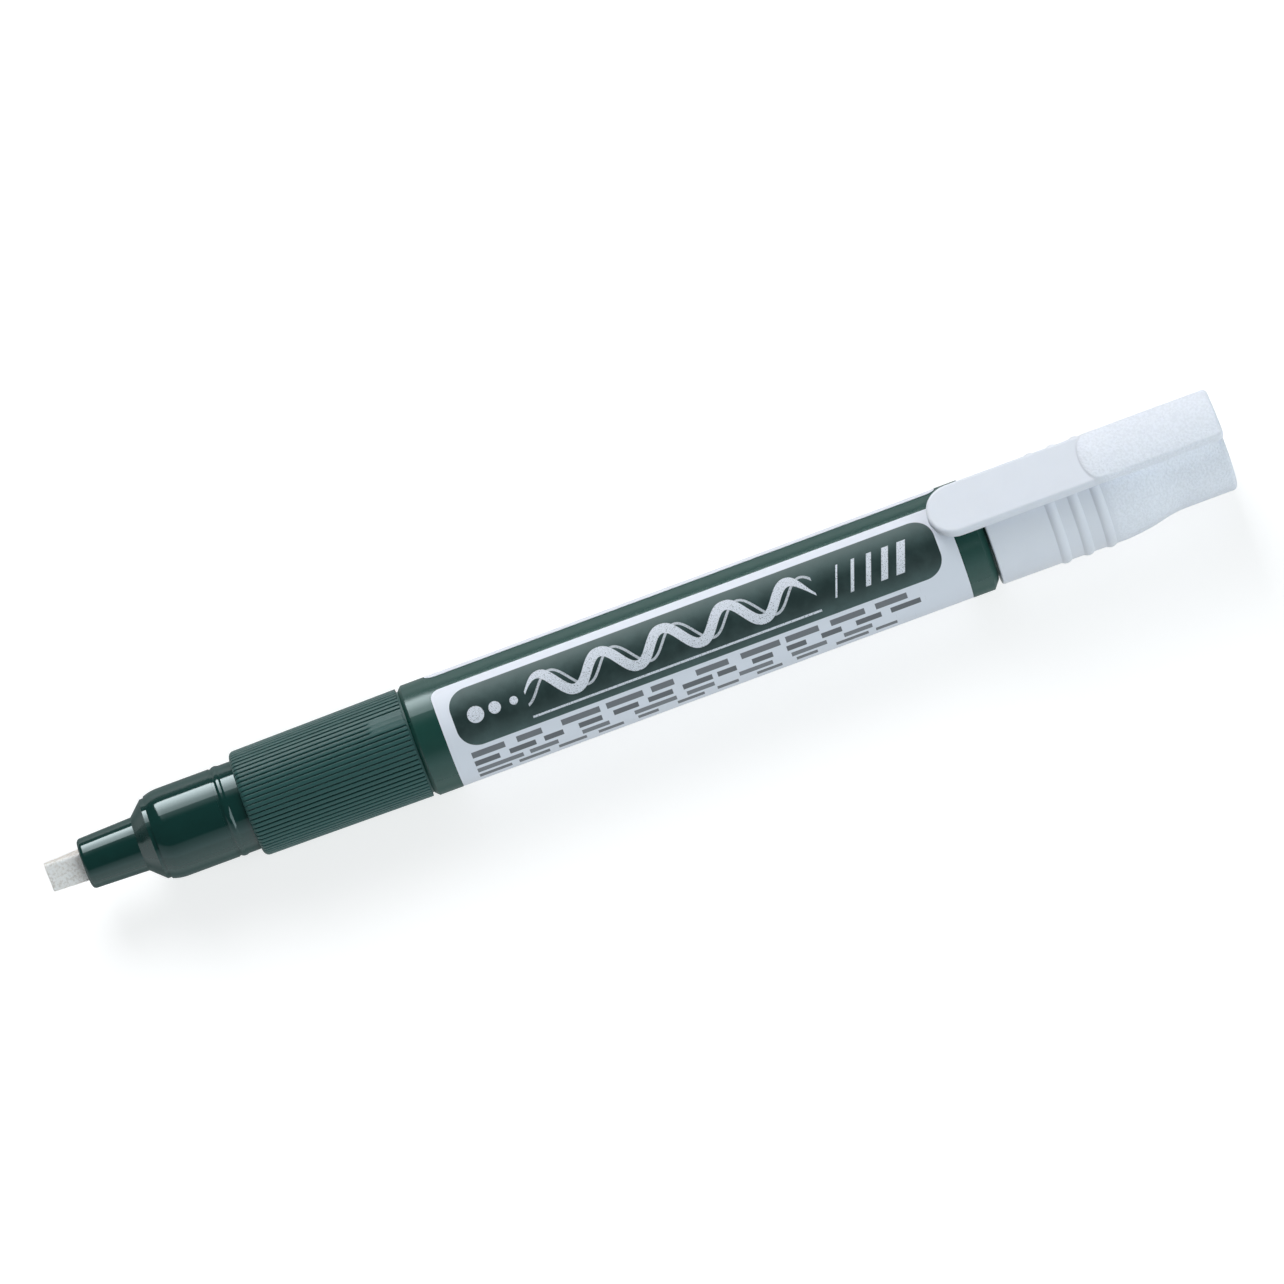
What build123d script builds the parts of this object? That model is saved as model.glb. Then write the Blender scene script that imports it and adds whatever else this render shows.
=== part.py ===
from build123d import *
from math import cos, hypot, pi, radians, sin, sqrt, tan
import os

# Liquid chalk marker with a pump valve, its cap posted on the rear. Sizes in millimetres.
# The marker lies along X, nib towards -X and cap towards +X, with the clip straight up.
# The origin is under the middle of its length, on the surface that it lies on.

# Fits and cuts
overrun = 1.0
fit_gap = 0.03
slide_gap = 0.1
face_gap = 0.05

# Nib: a felt wedge on a round shank, its section in shares of the nose's shank radius
nib_width_share = 0.67
nib_thickness_share = 0.43
nib_tip_thickness_share = 0.22
nib_edge_radius = 0.25
nib_reach = 4.23
nib_shank_step = 0.12
nib_travel = 2.0
nib_turn = 40.0

# Nose: nib sleeve, cone, cap seat with its snap bead, and the shank inside the collar
sleeve_wall = 0.68
sleeve_draft = 0.21
sleeve_length = 6.58
sleeve_edge_radius = 0.45
sleeve_lip_length = 1.2
cone_length = 1.64
cone_drop = 0.5
lip_length = 0.5
shoulder_length = 1.71
shoulder_drop = 0.32
seat_length = 8.8
seat_step = 0.16
bead_setback = 1.96
bead_width = 0.8
bead_height = 0.1
bead_groove_width = 0.3
bead_groove_depth = 0.08
shank_insert = 7.0
shank_end_chamfer = 0.4
nose_wall_share = 0.26
chamber_step = 0.4
chamber_cone_length = 1.1

# Grip collar: a drafted sleeve with lengthwise ribs and one smooth pad
collar_length = 19.97
collar_front_step = 0.95
collar_rear_inset = 0.15
collar_edge_radius = 0.65
rib_count = 68
groove_depth = 0.2
groove_width = 0.3
groove_floor_width = 0.12
pad_length = 4.9
pad_arc = 19.0
pad_turn = 4.5

# Valve: holder, seat, stem, spring and cage, with cross sections in shares of their bores
holder_length = 10.0
holder_socket_depth = 4.0
holder_room = 0.9
holder_flute_count = 4
holder_flute_share = 0.17
holder_clearance = 0.5
port_share = 0.35
port_bevel_share = 0.16
port_bevel_angle = 45.0
valve_seat_length = 2.0
stem_share = 0.22
head_rim_share = 0.07
head_length = 0.8
guide_share = 0.35
guide_length = 4.0
cage_wall_share = 0.24
cage_length = 14.0
cage_end_wall = 1.2
cage_hole_share = 0.24
cage_slot_length = 7.0
cage_slot_width = 1.6
spring_wire = 0.4
spring_coil_share = 0.5
spring_turns = 7
spring_wire_sides = 6

# Barrel: reservoir, closed at the rear by the spigot that takes the cap
seam_width = 0.27
barrel_radius = 6.5
barrel_wall = 1.47
barrel_length = 67.26
barrel_bore_step = 0.08
barrel_front_chamfer = 0.45
barrel_rear_chamfer_length = 0.76
barrel_rear_chamfer_depth = 0.95
spigot_length = 12.0
spigot_wall = 1.29
spigot_end_wall = 1.4
spigot_end_chamfer = 0.5

# Label film, sunk in a shallow recess round the barrel
label_thickness = 0.06
label_recess = 0.08
label_front_inset = 3.3
label_rear_inset = 3.36
label_gap_width = 2.9
label_gap_turn = 33.7
label_corner_radius = 1.2

# Mixing ball, in a share of the reservoir's radius
ball_share = 0.45

# Cap: rings, waist, inner cap and clip
cap_stand_off = 0.24
cap_length = 28.3
cap_wall = 0.92
cap_flare = 0.09
cap_edge_radius = 0.2
cap_end_edge_radius = 0.5
cap_end_wall = 1.04
ring_count = 3
ring_first = 7.6
ring_pitch = 2.65
ring_width = 1.35
ring_height = 0.22
ring_sink = 0.06
waist_first = 14.0
waist_long_arc = 5.4
waist_short_arc = 2.9
inner_cap_gap = 0.15
inner_cap_wall = 0.95
inner_cap_flange = 0.8
inner_cap_end_wall = 0.6
inner_cap_nib_room = 0.6
spigot_room = 0.9
clip_overhang = 5.7
clip_width = 6.1
clip_gap = 1.13
clip_thickness = 1.1
clip_edge_radius = 0.4
clip_corner_radius = 0.6
clip_end_inset = 0.1
clip_bump_radius = 0.6
clip_bump_setback = 2.2
clip_bump_width = 3.0
crown_first = 11.7
crown_height = 0.55
crown_ramp = 2.2
crown_sink = 0.35
web_first = 15.0
web_width = 3.2
web_end_inset = 0.7
web_foot_turn = 35.0

# Radii, worked out from the barrel inwards and the nib outwards
socket_radius = barrel_radius - barrel_wall
reservoir_radius = socket_radius - barrel_bore_step
shank_radius = socket_radius - fit_gap
seat_radius = shank_radius + seat_step + fit_gap
spigot_bore_radius = seat_radius - spigot_wall
nib_width = shank_radius * nib_width_share
nib_thickness = shank_radius * nib_thickness_share
nib_tip_thickness = shank_radius * nib_tip_thickness_share
lip_hole_radius = hypot(nib_width, nib_thickness) / 2 + face_gap
nib_shank_radius = lip_hole_radius + nib_shank_step
sleeve_bore_radius = nib_shank_radius + slide_gap
sleeve_front_radius = sleeve_bore_radius + sleeve_wall
sleeve_rear_radius = sleeve_front_radius + sleeve_draft
cone_rear_radius = seat_radius - cone_drop
shoulder_radius = seat_radius - shoulder_drop
valve_bore_radius = shank_radius * (1 - nose_wall_share)
chamber_radius = valve_bore_radius - chamber_step
holder_radius = chamber_radius - slide_gap
port_radius = valve_bore_radius * port_share
port_bevel = valve_bore_radius * port_bevel_share
stem_radius = valve_bore_radius * stem_share
head_radius = port_radius + port_bevel + valve_bore_radius * head_rim_share
guide_radius = valve_bore_radius * guide_share
spring_coil_radius = valve_bore_radius * spring_coil_share
valve_radius = valve_bore_radius - fit_gap
cage_bore_radius = valve_radius - valve_bore_radius * cage_wall_share
cage_hole_radius = valve_bore_radius * cage_hole_share
ball_radius = reservoir_radius * ball_share
collar_bore_radius = shank_radius + fit_gap
collar_front_radius = seat_radius + collar_front_step
collar_rear_radius = barrel_radius - collar_rear_inset
recess_radius = barrel_radius - label_recess
label_radius = recess_radius + label_thickness
cap_bore_radius = seat_radius + bead_height + face_gap
cap_mouth_radius = cap_bore_radius + cap_wall
cap_waist_radius = cap_mouth_radius + cap_flare
ring_last = ring_first + ring_pitch * (ring_count - 1)
ring_crest_radius = cap_mouth_radius + cap_flare * ring_last / waist_first + ring_height
inner_cap_bore_radius = sleeve_rear_radius + inner_cap_gap
inner_cap_radius = inner_cap_bore_radius + inner_cap_wall
pocket_radius = inner_cap_radius + fit_gap
cap_end_radius = pocket_radius + cap_end_wall
clip_inner_radius = max(barrel_radius, ring_crest_radius) + clip_gap
clip_outer_radius = clip_inner_radius + clip_thickness
crown_radius = clip_outer_radius + crown_height
axis_height = max(barrel_radius, ring_crest_radius)

# Places along X, from the nib to the cap's closed end
nose_length = sleeve_length + cone_length + lip_length + shoulder_length + seat_length
body_length = collar_length + seam_width + barrel_length
overall_length = nib_reach + nose_length + body_length + cap_stand_off + cap_length
nib_tip_x = -overall_length / 2
sleeve_front_x = nib_tip_x + nib_reach
cone_front_x = sleeve_front_x + sleeve_length
cone_rear_x = cone_front_x + cone_length
shoulder_front_x = cone_rear_x + lip_length
seat_front_x = shoulder_front_x + shoulder_length
collar_front_x = seat_front_x + seat_length
collar_rear_x = collar_front_x + collar_length
barrel_front_x = collar_rear_x + seam_width
barrel_rear_x = barrel_front_x + barrel_length
cap_mouth_x = barrel_rear_x + cap_stand_off
cap_end_x = cap_mouth_x + cap_length
spigot_end_x = barrel_rear_x + spigot_length
shank_end_x = barrel_front_x + shank_insert
chamber_front_x = cone_rear_x + chamber_cone_length
holder_front_x = chamber_front_x + holder_room
holder_rear_x = holder_front_x + holder_length
valve_front_x = holder_rear_x + nib_travel + holder_clearance

# Planes and the marker's axis
axis_plane = Plane(origin=(0, 0, axis_height), x_dir=(1, 0, 0), z_dir=(0, -1, 0))
marker_axis = Axis((0, 0, axis_height), (1, 0, 0))


def cross_plane(x, turn=0.0):
    """Plane square to the marker at x, its local Y turned from straight up towards +Y."""
    side = (0, cos(radians(turn)), -sin(radians(turn)))
    return Plane(origin=(x, 0, axis_height), x_dir=side, z_dir=(1, 0, 0))


def radial_plane(turn):
    """Plane through the marker's axis, its local Y turned from straight up towards +Y."""
    normal = (0, -cos(radians(turn)), sin(radians(turn)))
    return Plane(origin=(0, 0, axis_height), x_dir=(1, 0, 0), z_dir=normal)


# Nib: wedge in the sleeve's mouth, shank behind the sleeve's lip
nib_shank_front_x = sleeve_front_x + sleeve_lip_length + face_gap
nib_rear_x = holder_front_x + holder_socket_depth
with BuildPart() as nib:
    with BuildSketch(cross_plane(nib_tip_x, -nib_turn)):
        RectangleRounded(nib_width, nib_tip_thickness, nib_edge_radius)
    with BuildSketch(cross_plane(sleeve_front_x, -nib_turn)):
        RectangleRounded(nib_width, nib_thickness, nib_edge_radius)
    loft(ruled=True)
    with BuildSketch(cross_plane(sleeve_front_x, -nib_turn)):
        RectangleRounded(nib_width, nib_thickness, nib_edge_radius)
    extrude(amount=nib_shank_front_x - sleeve_front_x)
    with BuildSketch(cross_plane(nib_shank_front_x)):
        Circle(nib_shank_radius)
    extrude(amount=nib_rear_x - nib_shank_front_x)
nib.part.label = "nib"

# Nib holder: socket for the shank, flutes for the ink, and a flat back that pushes the valve
with BuildPart() as nib_holder:
    with BuildSketch(cross_plane(holder_front_x)):
        Circle(holder_radius)
    extrude(amount=holder_length)
    with BuildSketch(cross_plane(holder_front_x)):
        Circle(nib_shank_radius + fit_gap)
    extrude(amount=holder_socket_depth + face_gap, mode=Mode.SUBTRACT)
    with BuildSketch(cross_plane(holder_front_x - overrun)):
        with PolarLocations(holder_radius, holder_flute_count):
            Circle(holder_radius * holder_flute_share)
    extrude(amount=holder_length + 2 * overrun, mode=Mode.SUBTRACT)
nib_holder.part.label = "nib_holder"

# Nose: one turned profile from the sleeve's mouth to the end of the shank in the barrel
sleeve_lip_x = sleeve_front_x + sleeve_lip_length
bead_rear_x = collar_front_x - bead_setback + bead_width / 2
bead_front_x = bead_rear_x - bead_width
groove_front_x = bead_front_x - bead_groove_width
seat_bead_x = (bead_front_x + bead_rear_x) / 2
with BuildPart() as nose:
    with BuildSketch(axis_plane):
        with BuildLine():
            Line(
                (sleeve_front_x, lip_hole_radius),
                (sleeve_front_x, sleeve_front_radius - sleeve_edge_radius),
            )
            TangentArc(
                (sleeve_front_x, sleeve_front_radius - sleeve_edge_radius),
                (sleeve_front_x + sleeve_edge_radius, sleeve_front_radius),
                tangent=(0, 1),
            )
            Polyline(
                (sleeve_front_x + sleeve_edge_radius, sleeve_front_radius),
                (cone_front_x, sleeve_rear_radius),
                (cone_rear_x, cone_rear_radius),
                (shoulder_front_x, cone_rear_radius),
                (shoulder_front_x, shoulder_radius),
            )
            TangentArc((seat_front_x, seat_radius), (shoulder_front_x, shoulder_radius), tangent=(-1, 0))
            Polyline(
                (seat_front_x, seat_radius),
                (groove_front_x, seat_radius),
                (groove_front_x, seat_radius - bead_groove_depth),
                (bead_front_x, seat_radius - bead_groove_depth),
                (bead_front_x, seat_radius),
            )
            ThreePointArc(
                (bead_front_x, seat_radius),
                (seat_bead_x, seat_radius + bead_height),
                (bead_rear_x, seat_radius),
            )
            Polyline(
                (bead_rear_x, seat_radius),
                (collar_front_x, seat_radius),
                (collar_front_x, shank_radius),
                (shank_end_x - shank_end_chamfer, shank_radius),
                (shank_end_x, shank_radius - shank_end_chamfer),
                (shank_end_x, valve_bore_radius),
                (valve_front_x, valve_bore_radius),
                (valve_front_x, chamber_radius),
                (chamber_front_x, chamber_radius),
                (cone_rear_x, sleeve_bore_radius),
                (sleeve_lip_x, sleeve_bore_radius),
                (sleeve_lip_x, lip_hole_radius),
                (sleeve_front_x, lip_hole_radius),
            )
        make_face()
    revolve(axis=marker_axis)
nose.part.label = "nose"

# Grip collar: grooves follow the draft, and the pad is left smooth at the rear
collar_draft = collar_rear_radius - collar_front_radius
rib_step = 360 / rib_count
collar_slope = (collar_length, 0, collar_draft)
groove_start = (collar_front_x, 0, axis_height + collar_front_radius)
groove_plane = Plane(origin=groove_start, x_dir=(0, 1, 0), z_dir=collar_slope).offset(-overrun)
with BuildPart() as groove:
    with BuildSketch(groove_plane):
        with BuildLine():
            Polyline(
                (-groove_floor_width / 2, -groove_depth),
                (groove_floor_width / 2, -groove_depth),
                (groove_width / 2, 0),
                (groove_width / 2, groove_depth),
                (-groove_width / 2, groove_depth),
                (-groove_width / 2, 0),
                close=True,
            )
        make_face()
    extrude(amount=collar_length + 2 * overrun)
grooves = [groove.part.rotate(marker_axis, rib_step * place) for place in range(rib_count)]

pad_front_x = collar_rear_x - pad_length
pad_front_radius = collar_rear_radius - collar_draft * pad_length / collar_length
with BuildPart() as grip_collar:
    with BuildSketch(axis_plane) as collar_profile:
        with BuildLine():
            Polyline(
                (collar_front_x, collar_bore_radius),
                (collar_front_x, collar_front_radius),
                (collar_rear_x, collar_rear_radius),
                (collar_rear_x, collar_bore_radius),
                close=True,
            )
        make_face()
        fillet(collar_profile.vertices().group_by(Axis.X)[0].sort_by(Axis.Y)[-1], collar_edge_radius)
    revolve(axis=marker_axis)
    add(grooves, mode=Mode.SUBTRACT)
    with BuildSketch(radial_plane(pad_turn + pad_arc / 2)):
        with BuildLine():
            Polyline(
                (pad_front_x, pad_front_radius - 2 * groove_depth),
                (pad_front_x, pad_front_radius),
                (collar_rear_x, collar_rear_radius),
                (collar_rear_x, collar_rear_radius - 2 * groove_depth),
                close=True,
            )
        make_face()
    revolve(axis=marker_axis, revolution_arc=pad_arc)
grip_collar.part.label = "grip_collar"

# Valve seat: disc against the nose's inner shoulder, its port bevelled for the head
valve_rear_x = valve_front_x + valve_seat_length
bevel_front_x = valve_rear_x - port_bevel / tan(radians(port_bevel_angle))
with BuildPart() as valve_seat:
    with BuildSketch(axis_plane):
        with BuildLine():
            Polyline(
                (valve_front_x, port_radius),
                (valve_front_x, valve_radius),
                (valve_rear_x, valve_radius),
                (valve_rear_x, port_radius + port_bevel),
                (bevel_front_x, port_radius),
                close=True,
            )
        make_face()
    revolve(axis=marker_axis)
valve_seat.part.label = "valve_seat"

# Valve stem: rod from the holder, cone head in the bevel, guide inside the spring
bevel_slope = tan(radians(port_bevel_angle))
head_gap = face_gap / sin(radians(port_bevel_angle))
head_front_x = bevel_front_x - (port_radius - stem_radius) / bevel_slope + head_gap
head_rim_x = head_front_x + (head_radius - stem_radius) / bevel_slope
head_rear_x = head_rim_x + head_length
with BuildPart() as valve_stem:
    with BuildSketch(axis_plane):
        with BuildLine():
            Polyline(
                (holder_rear_x, 0),
                (holder_rear_x, stem_radius),
                (head_front_x, stem_radius),
                (head_rim_x, head_radius),
                (head_rear_x, head_radius),
                (head_rear_x, guide_radius),
                (head_rear_x + guide_length, guide_radius),
                (head_rear_x + guide_length, 0),
                close=True,
            )
        make_face()
    revolve(axis=marker_axis)
valve_stem.part.label = "valve_stem"

# Valve housing: cage behind the seat, slotted on four sides, with a wall for the spring
cage_rear_x = valve_rear_x + cage_length
cage_floor_x = cage_rear_x - cage_end_wall
cage_slot_x = cage_floor_x - cage_slot_length / 2 - cage_slot_width / 2
with BuildPart() as valve_housing:
    with BuildSketch(axis_plane):
        with BuildLine():
            Polyline(
                (valve_rear_x, cage_bore_radius),
                (valve_rear_x, valve_radius),
                (cage_rear_x, valve_radius),
                (cage_rear_x, cage_hole_radius),
                (cage_floor_x, cage_hole_radius),
                (cage_floor_x, cage_bore_radius),
                close=True,
            )
        make_face()
    revolve(axis=marker_axis)
    with BuildSketch(radial_plane(0), radial_plane(90)):
        with Locations((cage_slot_x, 0)):
            SlotOverall(cage_slot_length, cage_slot_width)
    extrude(amount=valve_radius + overrun, both=True, mode=Mode.SUBTRACT)
valve_housing.part.label = "valve_housing"

# Valve spring: one helix between the head and the cage's floor, two arcs to each half turn
spring_front_x = head_rear_x + face_gap + spring_wire / 2
spring_rear_x = cage_floor_x - face_gap - spring_wire / 2
spring_pitch = (spring_rear_x - spring_front_x) / spring_turns


def spring_point(turns):
    """Point on the spring's helix after so many turns."""
    angle = 2 * pi * turns
    across = Vector(0, sin(angle), cos(angle)) * spring_coil_radius
    return Vector(spring_front_x + spring_pitch * turns, 0, axis_height) + across


def spring_tangent(turns):
    """Unit direction of the spring's helix after so many turns."""
    angle = 2 * pi * turns
    around = Vector(0, cos(angle), -sin(angle)) * (2 * pi * spring_coil_radius)
    return (Vector(spring_pitch, 0, 0) + around).normalized()


def arm_length(start, end, start_tangent, end_tangent):
    """Length of the tangent arms whose two arcs meet smoothly between start and end."""
    chord = end - start
    both = start_tangent + end_tangent
    square = 4 - both.dot(both)
    along = chord.dot(both)
    return (sqrt(along * along + square * chord.dot(chord)) - along) / square


half_turns = [count / 2 for count in range(2 * spring_turns + 1)]
with BuildPart() as valve_spring:
    with BuildLine():
        for first, last in zip(half_turns[:-1], half_turns[1:]):
            start, end = spring_point(first), spring_point(last)
            start_tangent, end_tangent = spring_tangent(first), spring_tangent(last)
            arm = arm_length(start, end, start_tangent, end_tangent)
            middle = (start + start_tangent * arm + end - end_tangent * arm) / 2
            TangentArc(start, middle, tangent=start_tangent)
            TangentArc(end, middle, tangent=-end_tangent)
    with BuildSketch(Plane(origin=spring_point(0), z_dir=spring_tangent(0))):
        RegularPolygon(spring_wire / 2, spring_wire_sides)
    sweep()
valve_spring.part.label = "valve_spring"
print("spring gap between turns", round(spring_pitch - spring_wire, 3))

# Barrel: one turned profile, from its chamfered front to the closed end of the spigot
label_front_x = barrel_front_x + label_front_inset
label_rear_x = barrel_rear_x - label_rear_inset
reservoir_rear_x = barrel_rear_x - barrel_rear_chamfer_length - spigot_wall
spigot_floor_x = spigot_end_x - spigot_end_wall
spigot_bead_x = barrel_rear_x + bead_setback
with BuildPart() as barrel:
    with BuildSketch(axis_plane):
        with BuildLine():
            Polyline(
                (barrel_front_x, socket_radius),
                (barrel_front_x, barrel_radius - barrel_front_chamfer),
                (barrel_front_x + barrel_front_chamfer, barrel_radius),
                (label_front_x - face_gap, barrel_radius),
                (label_front_x - face_gap, recess_radius),
                (label_rear_x + face_gap, recess_radius),
                (label_rear_x + face_gap, barrel_radius),
                (barrel_rear_x - barrel_rear_chamfer_length, barrel_radius),
                (barrel_rear_x, barrel_radius - barrel_rear_chamfer_depth),
                (barrel_rear_x, seat_radius),
                (spigot_bead_x - bead_width / 2, seat_radius),
            )
            ThreePointArc(
                (spigot_bead_x - bead_width / 2, seat_radius),
                (spigot_bead_x, seat_radius + bead_height),
                (spigot_bead_x + bead_width / 2, seat_radius),
            )
            Polyline(
                (spigot_bead_x + bead_width / 2, seat_radius),
                (spigot_end_x - spigot_end_chamfer, seat_radius),
                (spigot_end_x, seat_radius - spigot_end_chamfer),
                (spigot_end_x, 0),
                (spigot_floor_x, 0),
                (spigot_floor_x, spigot_bore_radius),
                (barrel_rear_x, spigot_bore_radius),
                (reservoir_rear_x, reservoir_radius),
                (shank_end_x + face_gap, reservoir_radius),
                (shank_end_x + face_gap, socket_radius),
                (barrel_front_x, socket_radius),
            )
        make_face()
    revolve(axis=marker_axis)
barrel.part.label = "barrel"

# Label: film round the barrel, open along one strip, with rounded corners
label_length = label_rear_x - label_front_x
label_corner_span = label_gap_width + 2 * label_corner_radius
label_gap_plane = Plane(
    origin=((label_front_x + label_rear_x) / 2, 0, axis_height),
    x_dir=(1, 0, 0),
    z_dir=(0, sin(radians(label_gap_turn)), cos(radians(label_gap_turn))),
)
with BuildPart() as barrel_label:
    with BuildSketch(axis_plane):
        with BuildLine():
            Polyline(
                (label_front_x, recess_radius),
                (label_front_x, label_radius),
                (label_rear_x, label_radius),
                (label_rear_x, recess_radius),
                close=True,
            )
        make_face()
    revolve(axis=marker_axis)
    with BuildSketch(label_gap_plane):
        Rectangle(label_length + 2 * overrun, label_gap_width)
        with GridLocations(label_length + overrun - label_corner_radius, 0, 2, 1):
            Rectangle(label_corner_radius + overrun, label_corner_span)
        with GridLocations(label_length - 2 * label_corner_radius, label_corner_span, 2, 2):
            Circle(label_corner_radius, mode=Mode.SUBTRACT)
    extrude(amount=label_radius + overrun, mode=Mode.SUBTRACT)
barrel_label.part.label = "barrel_label"

# Mixing ball: lies on the reservoir's floor, half way along its run
ball_front_x = shank_end_x + ball_radius
ball_rear_x = reservoir_rear_x - ball_radius
ball_drop = reservoir_radius - ball_radius - face_gap
with BuildPart() as mixing_ball:
    with Locations(((ball_front_x + ball_rear_x) / 2, 0, axis_height - ball_drop)):
        Sphere(ball_radius)
mixing_ball.part.label = "mixing_ball"

# Clip outline, seen from above: round tip over the barrel, square end over the cap's end
clip_tip_x = cap_mouth_x - clip_overhang
clip_end_x = cap_end_x - clip_end_inset
clip_round_x = clip_tip_x + clip_width / 2
with BuildSketch(Plane.XY.offset(axis_height + clip_inner_radius)) as clip_outline:
    with BuildLine():
        ThreePointArc((clip_round_x, clip_width / 2), (clip_tip_x, 0), (clip_round_x, -clip_width / 2))
        Polyline(
            (clip_round_x, -clip_width / 2),
            (clip_end_x, -clip_width / 2),
            (clip_end_x, clip_width / 2),
            (clip_round_x, clip_width / 2),
        )
    make_face()
    fillet(clip_outline.vertices().group_by(Axis.X)[-1], clip_corner_radius)

# Clip arm: flat, with softened top edges and a bump under its tip
with BuildPart() as clip_arm:
    extrude(clip_outline.sketch, amount=clip_thickness)
    fillet(clip_arm.faces().sort_by(Axis.Z)[-1].edges(), clip_edge_radius)
    with BuildSketch(axis_plane):
        with Locations((clip_tip_x + clip_bump_setback, clip_inner_radius)):
            Circle(clip_bump_radius)
    extrude(amount=clip_bump_width / 2, both=True)

# Clip crown: domed block over the arm's root, rounded where it rises from the arm
crown_front_x = cap_mouth_x + crown_first
with BuildPart() as clip_crown:
    with BuildSketch(axis_plane):
        with BuildLine():
            TangentArc(
                (crown_front_x + crown_ramp, crown_radius),
                (crown_front_x, clip_outer_radius - crown_sink),
                tangent=(-1, 0),
            )
            Polyline(
                (crown_front_x, clip_outer_radius - crown_sink),
                (crown_front_x, 0),
                (clip_end_x, 0),
                (clip_end_x, crown_radius),
                (crown_front_x + crown_ramp, crown_radius),
            )
        make_face()
    revolve(axis=marker_axis)
    extrude(clip_outline.sketch, amount=crown_radius, mode=Mode.INTERSECT)
    crown_top = clip_crown.faces().filter_by(GeomType.CYLINDER).sort_by(Axis.Z)[-1]
    fillet(crown_top.edges().sort_by(Axis.X)[1:], clip_edge_radius)

# Cap: drafted shell, three rings, waist, flared web and clip, bored from its mouth
inner_cap_front_x = spigot_end_x + spigot_room
pocket_front_x = inner_cap_front_x + inner_cap_flange
inner_cap_depth = collar_front_x - nib_tip_x + inner_cap_nib_room
inner_cap_floor_x = cap_mouth_x + inner_cap_depth
inner_cap_end_x = inner_cap_floor_x + inner_cap_end_wall
waist_front_x = cap_mouth_x + waist_first
waist_middle_x = waist_front_x + waist_long_arc
waist_rear_x = waist_middle_x + waist_short_arc
waist_drop = cap_waist_radius - cap_end_radius
waist_middle_radius = cap_waist_radius - waist_drop * waist_long_arc / (waist_long_arc + waist_short_arc)
web_foot_y = cap_end_radius * sin(radians(web_foot_turn))
web_foot_z = cap_end_radius * cos(radians(web_foot_turn))
web_length = cap_length - web_first - web_end_inset
with BuildPart() as cap:
    with BuildSketch(axis_plane):
        with BuildLine():
            Line((cap_mouth_x, 0), (cap_mouth_x, cap_mouth_radius - cap_edge_radius))
            TangentArc(
                (cap_mouth_x, cap_mouth_radius - cap_edge_radius),
                (cap_mouth_x + cap_edge_radius, cap_mouth_radius),
                tangent=(0, 1),
            )
            Line((cap_mouth_x + cap_edge_radius, cap_mouth_radius), (waist_front_x, cap_waist_radius))
            TangentArc(
                (waist_front_x, cap_waist_radius),
                (waist_middle_x, waist_middle_radius),
                tangent=(1, 0),
            )
            TangentArc((waist_rear_x, cap_end_radius), (waist_middle_x, waist_middle_radius), tangent=(-1, 0))
            Line((waist_rear_x, cap_end_radius), (cap_end_x - cap_end_edge_radius, cap_end_radius))
            TangentArc(
                (cap_end_x - cap_end_edge_radius, cap_end_radius),
                (cap_end_x, cap_end_radius - cap_end_edge_radius),
                tangent=(1, 0),
            )
            Polyline((cap_end_x, cap_end_radius - cap_end_edge_radius), (cap_end_x, 0), (cap_mouth_x, 0))
        make_face()
        for place in range(ring_count):
            ring_offset = ring_first + ring_pitch * place
            ring_x = cap_mouth_x + ring_offset
            ring_base = cap_mouth_radius + cap_flare * ring_offset / waist_first
            with BuildLine():
                ThreePointArc(
                    (ring_x - ring_width / 2, ring_base - ring_sink),
                    (ring_x, ring_base + ring_height),
                    (ring_x + ring_width / 2, ring_base - ring_sink),
                )
                Line(
                    (ring_x - ring_width / 2, ring_base - ring_sink),
                    (ring_x + ring_width / 2, ring_base - ring_sink),
                )
            make_face()
    revolve(axis=marker_axis)
    with BuildSketch(cross_plane(cap_mouth_x + web_first)):
        with BuildLine():
            TangentArc((web_width / 2, clip_inner_radius), (web_foot_y, web_foot_z), tangent=(0, -1))
            TangentArc((-web_width / 2, clip_inner_radius), (-web_foot_y, web_foot_z), tangent=(0, -1))
            Line((-web_foot_y, web_foot_z), (web_foot_y, web_foot_z))
            Line((-web_width / 2, clip_inner_radius), (web_width / 2, clip_inner_radius))
        make_face()
    extrude(amount=web_length)
    add(clip_arm.part)
    add(clip_crown.part)
    with BuildSketch(axis_plane):
        with BuildLine():
            Polyline(
                (cap_mouth_x - face_gap, 0),
                (cap_mouth_x - face_gap, cap_bore_radius),
                (pocket_front_x, cap_bore_radius),
                (pocket_front_x, pocket_radius),
                (inner_cap_end_x, pocket_radius),
                (inner_cap_end_x, 0),
                close=True,
            )
        make_face()
    revolve(axis=marker_axis, mode=Mode.SUBTRACT)
cap.part.label = "cap"

# Inner cap: flanged liner that closes round the nib sleeve when the cap is on the nose
with BuildPart() as inner_cap:
    with BuildSketch(axis_plane):
        with BuildLine():
            Polyline(
                (inner_cap_front_x, inner_cap_bore_radius),
                (inner_cap_front_x, cap_bore_radius - fit_gap),
                (pocket_front_x, cap_bore_radius - fit_gap),
                (pocket_front_x, inner_cap_radius),
                (inner_cap_end_x, inner_cap_radius),
                (inner_cap_end_x, 0),
                (inner_cap_floor_x, 0),
                (inner_cap_floor_x, inner_cap_bore_radius),
                close=True,
            )
        make_face()
    revolve(axis=marker_axis)
inner_cap.part.label = "inner_cap"

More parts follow.
